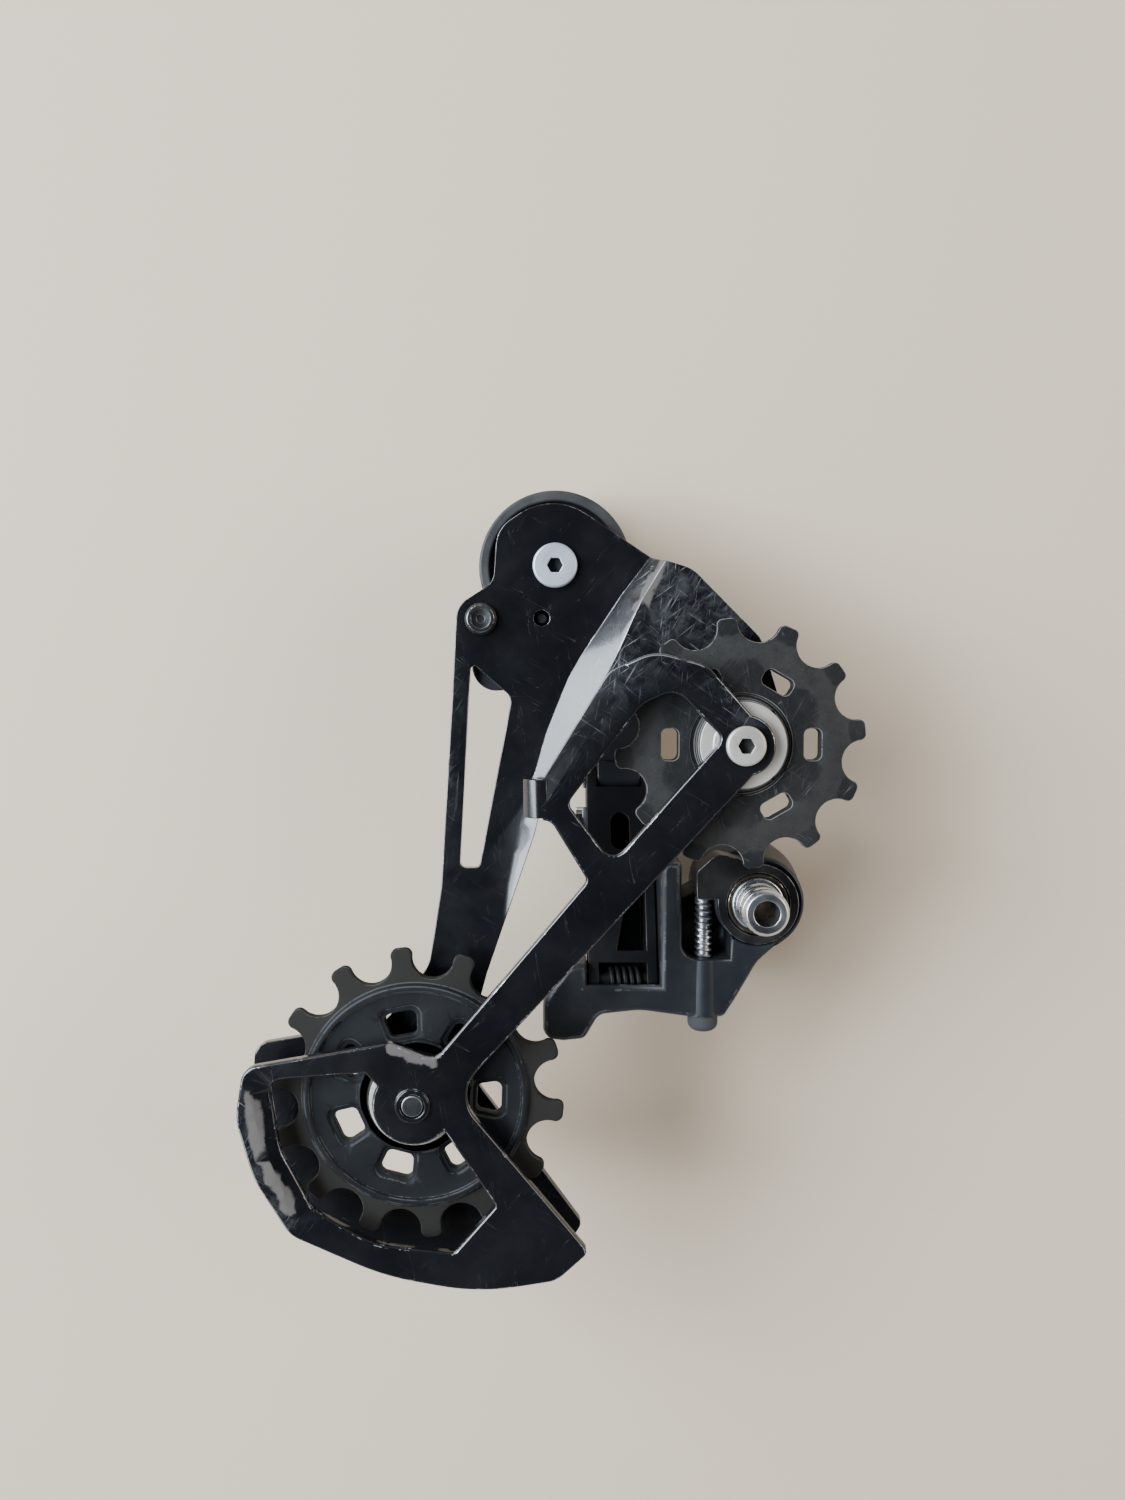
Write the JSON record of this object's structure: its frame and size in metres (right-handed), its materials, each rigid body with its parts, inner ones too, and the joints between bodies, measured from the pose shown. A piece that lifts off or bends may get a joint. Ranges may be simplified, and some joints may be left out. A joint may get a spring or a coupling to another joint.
{
  "type": "rear bicycle derailleur",
  "caption": "Rear bicycle derailleur with a hanger bolt, parallelogram links, a clutch knuckle and a long two-plate cage with guide and tension pulleys.",
  "frame": {"origin": "on the hanger bolt axis at the hanger contact face", "axes": "+Z along the hanger bolt, inboard, the way the threaded end points; the part lies with its outboard side toward -Z; +Y from the hanger end toward the cage pivot end"},
  "size_m": [0.1306, 0.1721, 0.0585],
  "materials": {
    "bolt_steel": "dull turned steel",
    "zinc_steel": "zinc plated, slightly dull",
    "bright_zinc": "bright bluish zinc",
    "black_steel": "black oxide",
    "spring_steel": "drawn spring wire",
    "bronze": "sintered bronze",
    "knuckle_paint": "matte dark blue-grey glass-filled composite",
    "link_black": "semi-gloss black paint",
    "ring_plastic": "dull moulded plastic",
    "gasket_rubber": "matte",
    "cage_black": "gloss black e-coat, worn through at the edges",
    "bushing_ceramic": "ground",
    "shield_steel": "dull pressed steel",
    "pulley_plastic": "scuffed charcoal plastic",
    "pulley_plastic_dark": "dusty charcoal plastic"
  },
  "bodies": {
    "hanger": {"hanger_bolt": "bolt_steel", "hanger_washer": "zinc_steel", "b_stop_plate": "black_steel"},
    "b_knuckle_body": {"b_knuckle": "knuckle_paint", "b_bushing": "bronze", "b_link_pins": "zinc_steel", "return_spring": "spring_steel"},
    "b_adjust": {"b_adjust_screw": "zinc_steel"},
    "limit_high": {"limit_screw_high": "zinc_steel"},
    "limit_low": {"limit_screw_low": "zinc_steel"},
    "inner_link_body": {"inner_link": "link_black", "cable_washer": "zinc_steel", "cable_anchor_bolt": "black_steel"},
    "outer_link_body": {"outer_link": "link_black"},
    "p_knuckle_body": {"p_knuckle": "knuckle_paint", "p_ring": "ring_plastic", "p_bushing": "bronze", "p_link_pins": "zinc_steel", "p_pin_clips": "spring_steel", "roller_clutch": "zinc_steel", "friction_band": "spring_steel", "clutch_gasket": "gasket_rubber", "clutch_cover": "ring_plastic", "clutch_cover_screws": "black_steel"},
    "cage": {"outer_cage_plate": "cage_black", "inner_cage_plate": "cage_black", "cage_axle": "zinc_steel", "axle_clip": "spring_steel", "cage_pivot_bolt": "bright_zinc", "cage_spring": "spring_steel", "stop_pin": "black_steel", "upper_pulley_bolt": "bright_zinc", "lower_pulley_bolt": "black_steel", "upper_bushing": "bushing_ceramic", "lower_bushing": "bushing_ceramic", "upper_shield_inner": "shield_steel", "upper_shield_outer": "shield_steel", "lower_shield_inner": "shield_steel", "lower_shield_outer": "shield_steel"},
    "upper_pulley_body": {"upper_pulley": "pulley_plastic"},
    "lower_pulley_body": {"lower_pulley": "pulley_plastic_dark"}
  },
  "joints": [
    {"name": "b_pivot", "type": "hinge", "parent": "hanger", "child": "b_knuckle_body", "pos_m": [0, 0, -0.01], "axis": [0, 0, 1], "range_deg": [0, 12]},
    {"name": "b_adjust_travel", "type": "slide", "parent": "b_knuckle_body", "child": "b_adjust", "axis": [0, 1, 0], "range_m": [-0.008, 0]},
    {"name": "limit_high_travel", "type": "slide", "parent": "b_knuckle_body", "child": "limit_high", "axis": [0, 0, 1], "range_m": [-0.002, 0]},
    {"name": "limit_low_travel", "type": "slide", "parent": "b_knuckle_body", "child": "limit_low", "axis": [0, 0, 1], "range_m": [-0.002, 0]},
    {"name": "inner_link_swing", "type": "hinge", "parent": "b_knuckle_body", "child": "inner_link_body", "pos_m": [-0.02975, -0.0188, -0.0065], "axis": [1, 0, 0], "range_deg": [0, 48], "stiffness_Nm_per_rad": 0.6, "springref_deg": -51.57},
    {"name": "outer_link_swing", "type": "hinge", "parent": "b_knuckle_body", "child": "outer_link_body", "pos_m": [-0.02975, -0.0188, -0.016], "axis": [1, 0, 0], "range_deg": [0, 48]},
    {"name": "p_knuckle_swing", "type": "hinge", "parent": "inner_link_body", "child": "p_knuckle_body", "pos_m": [-0.02975, 0.02596, -0.02643], "axis": [1, 0, 0], "range_deg": [-48, 0]},
    {"name": "cage_pivot", "type": "hinge", "parent": "p_knuckle_body", "child": "cage", "pos_m": [-0.045, 0.0741, -0.01], "axis": [0, 0, -1], "range_deg": [0, 115], "stiffness_Nm_per_rad": 0.4, "springref_deg": -68.75},
    {"name": "upper_pulley_spin", "type": "hinge", "parent": "cage", "child": "upper_pulley_body", "pos_m": [-0.0064, 0.0362, 0.011], "axis": [0, 0, 1], "continuous": true},
    {"name": "lower_pulley_spin", "type": "hinge", "parent": "cage", "child": "lower_pulley_body", "pos_m": [-0.0744, -0.0382, 0.011], "axis": [0, 0, 1], "continuous": true}
  ],
  "couplings": [
    {"joint": "outer_link_swing", "follows": "inner_link_swing", "ratio": 1},
    {"joint": "p_knuckle_swing", "follows": "inner_link_swing", "ratio": -1}
  ]
}
